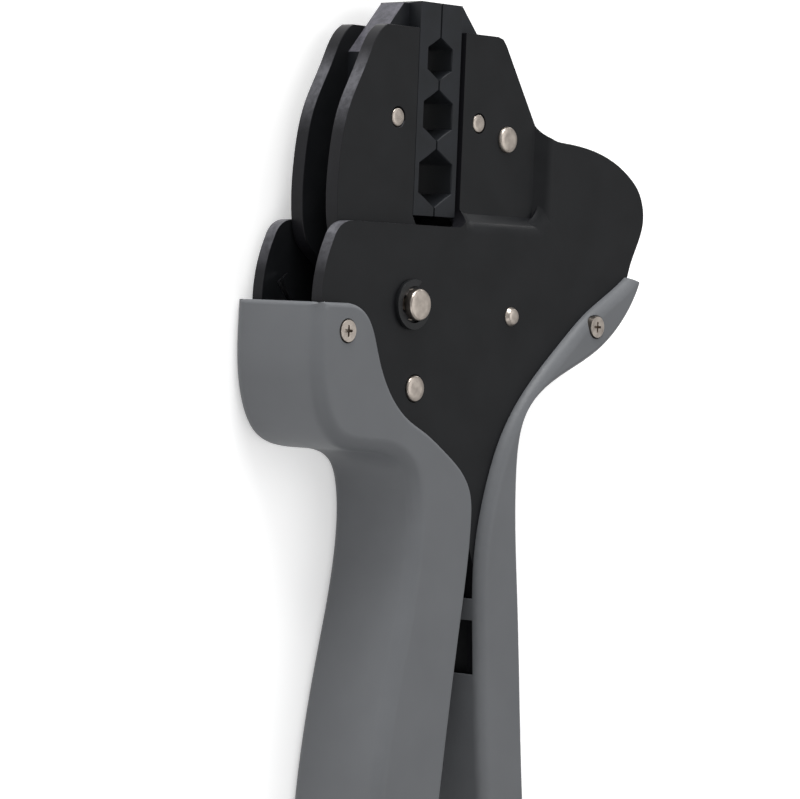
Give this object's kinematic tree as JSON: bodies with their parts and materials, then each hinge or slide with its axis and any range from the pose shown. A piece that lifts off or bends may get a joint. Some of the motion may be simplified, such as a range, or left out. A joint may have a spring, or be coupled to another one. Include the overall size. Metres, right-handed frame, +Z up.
{
  "type": "coaxial crimping tool",
  "caption": "Ratcheting hand crimper for coaxial connectors, with hex dies in a pivoting jaw, a cam lever drive and moulded grips.",
  "frame": {"origin": "centre of the tool's outline on the surface that its back rests on", "axes": "+Y along the tool towards the jaws, +X across it towards the fixed handle, +Z up out of the pictured face"},
  "size_m": [0.1006, 0.224, 0.0223],
  "materials": {
    "steel_black": "satin black finish",
    "die_steel": "dark phosphated satin",
    "bright_steel": "satin",
    "spring_steel": "satin",
    "dark_steel": "oiled dark",
    "grip_plastic": "smooth satin moulding"
  },
  "bodies": {
    "frame": {"front_frame_plate": "steel_black", "back_frame_plate": "steel_black", "fixed_jaw_spacer": "dark_steel", "fixed_jaw_rivet": "bright_steel", "tang_spacer": "dark_steel", "tang_rivets": "bright_steel", "fixed_die": "die_steel", "fixed_die_screw": "bright_steel", "jaw_pivot_pin": "bright_steel", "handle_shaft": "bright_steel", "retaining_clip": "dark_steel", "star_wheel": "dark_steel", "star_lock_screw": "bright_steel", "pawl_pivot_pin": "bright_steel", "pawl_spacers": "dark_steel", "pawl_spring": "spring_steel", "spring_post": "dark_steel", "opening_spring": "spring_steel", "fixed_grip": "grip_plastic", "fixed_grip_screw": "bright_steel", "fixed_grip_nut": "bright_steel", "grip_screw_spacer": "dark_steel"},
    "jaw": {"moving_jaw_front_plate": "steel_black", "moving_jaw_back_plate": "steel_black", "moving_die": "die_steel", "moving_die_screw": "bright_steel", "roller_pin": "bright_steel"},
    "handle": {"cam_lever": "dark_steel", "moving_grip": "grip_plastic", "moving_grip_screws": "bright_steel"},
    "roller": {"cam_roller": "bright_steel"},
    "pawl": {"ratchet_pawl": "dark_steel"}
  },
  "joints": [
    {"name": "handle_pivot", "type": "hinge", "parent": "frame", "child": "handle", "pos_m": [-0.022, 0.054, 0.011], "axis": [0, 0, 1], "range_deg": [-24, 0.6], "deforming": ["opening_spring"]},
    {"name": "jaw_pivot", "type": "hinge", "parent": "frame", "child": "jaw", "pos_m": [-0.01965, 0.038, 0.011], "axis": [0, 0, 1], "range_deg": [-0.24, 9.6]},
    {"name": "roller_spin", "type": "hinge", "parent": "jaw", "child": "roller", "pos_m": [-0.01493, 0.06243, 0.011], "axis": [0, 0, 1], "continuous": true},
    {"name": "pawl_pivot", "type": "hinge", "parent": "frame", "child": "pawl", "pos_m": [0.00875, 0.0524, 0.011], "axis": [0, 0, 1], "range_deg": [-15, 15], "stiffness_Nm_per_rad": 0.02, "deforming": ["pawl_spring"]}
  ],
  "couplings": [
    {"joint": "jaw_pivot", "follows": "handle_pivot", "ratio": -0.4}
  ]
}
